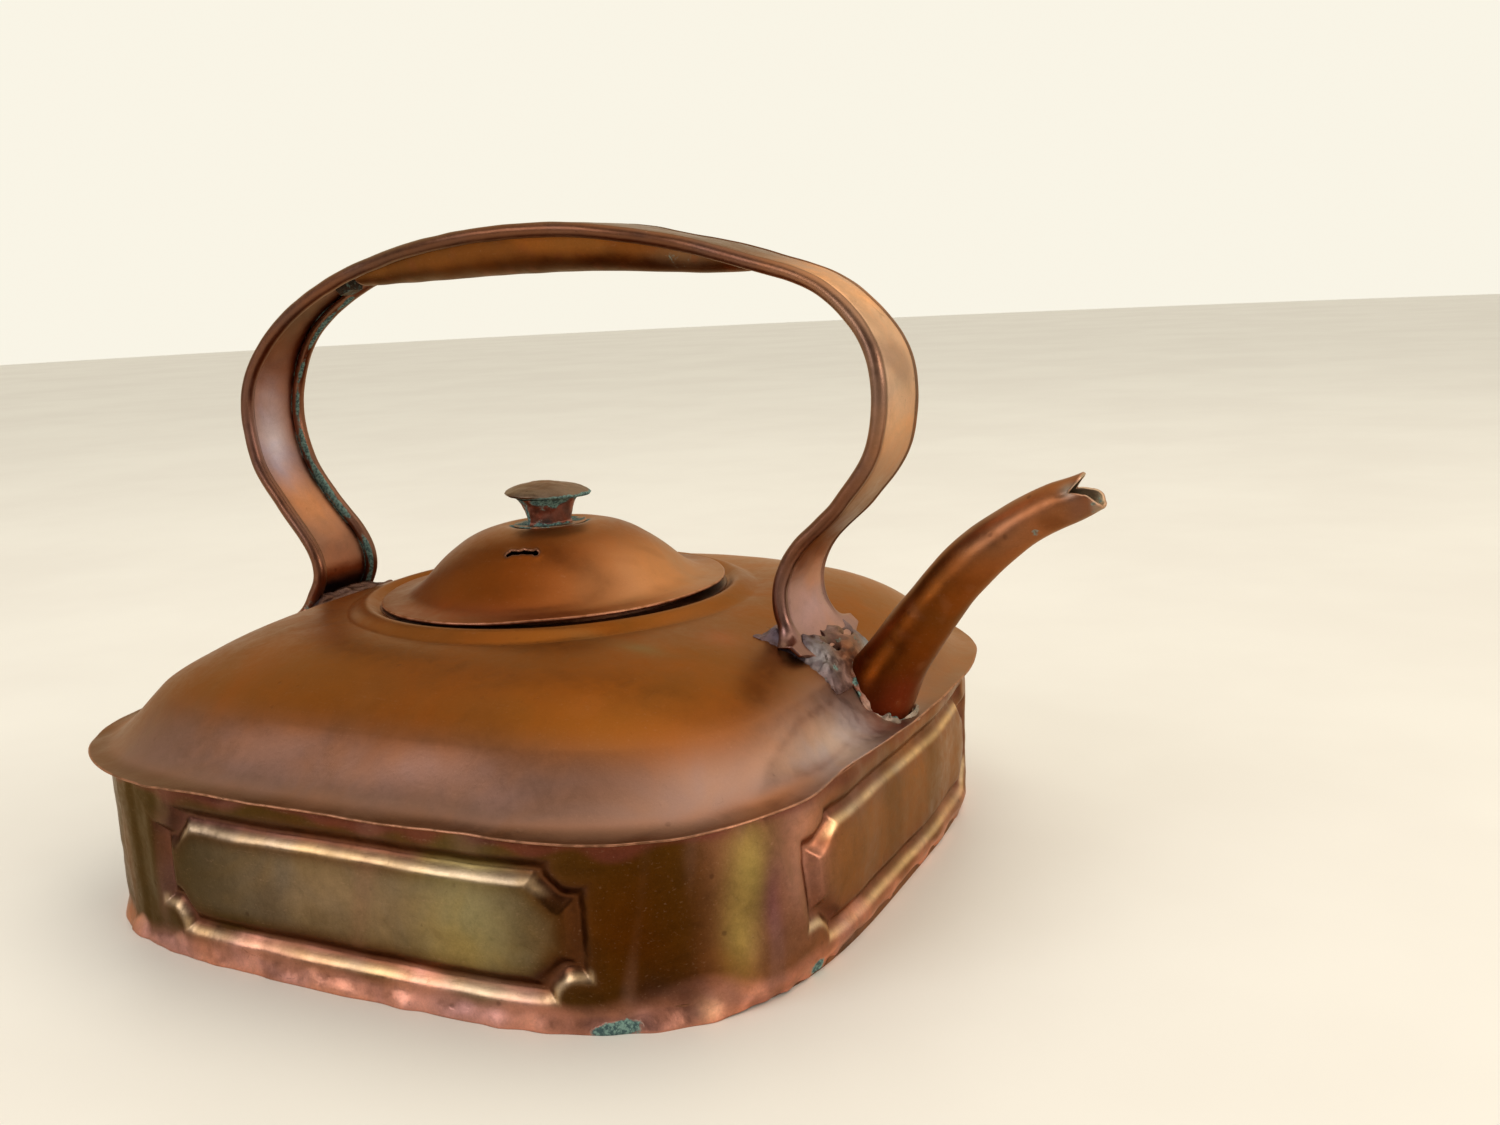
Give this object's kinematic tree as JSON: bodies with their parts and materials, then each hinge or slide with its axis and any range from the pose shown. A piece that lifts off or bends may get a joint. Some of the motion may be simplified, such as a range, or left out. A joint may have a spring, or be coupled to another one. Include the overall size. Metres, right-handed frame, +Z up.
{
  "type": "kettle",
  "caption": "Squared copper and brass kettle with pressed side panels, a lift-out domed lid, an arched strap handle and a beaked spout.",
  "frame": {"origin": "centre of the flat base, on the surface it stands on", "axes": "+Z up, +X towards the spout, +Y across the kettle"},
  "size_m": [0.2913, 0.2342, 0.1919],
  "materials": {
    "band_brass": "satin, patinated",
    "shoulder_copper": "satin copper, patinated",
    "lid_copper": "satin copper, patinated",
    "handle_copper": "satin copper, patinated",
    "grip_copper": "polished by the hand",
    "spout_copper": "dark patinated copper",
    "inner_copper": "dull, dark",
    "knob_copper": "dark patinated copper",
    "knob_verdigris": "verdigris",
    "rivet_copper": "dull",
    "wire": "dull, stained",
    "solder": "dull soft solder"
  },
  "bodies": {
    "kettle": {"base_pan": "inner_copper", "base_solder": "solder", "side_band": "band_brass", "rim_solder": "solder", "shoulder": "shoulder_copper", "filler_collar": "inner_copper", "handle_strap": "handle_copper", "handle_wire_near": "wire", "handle_wire_far": "wire", "handle_grip": "grip_copper", "grip_solder_front": "solder", "grip_solder_rear": "solder", "handle_solder_front": "solder", "handle_solder_rear": "solder", "handle_rivets_front": "rivet_copper", "handle_rivets_rear": "rivet_copper", "spout": "spout_copper", "spout_solder": "solder"},
    "lid": {"lid": "lid_copper", "lid_skirt": "inner_copper", "knob_washer": "knob_verdigris", "knob_stem": "knob_copper", "knob_cap": "knob_copper", "knob_rivet": "knob_copper"}
  },
  "joints": [
    {"name": "lid_lift", "type": "slide", "parent": "kettle", "child": "lid", "axis": [0, 0, 1], "range_m": [0, 0.055]}
  ]
}
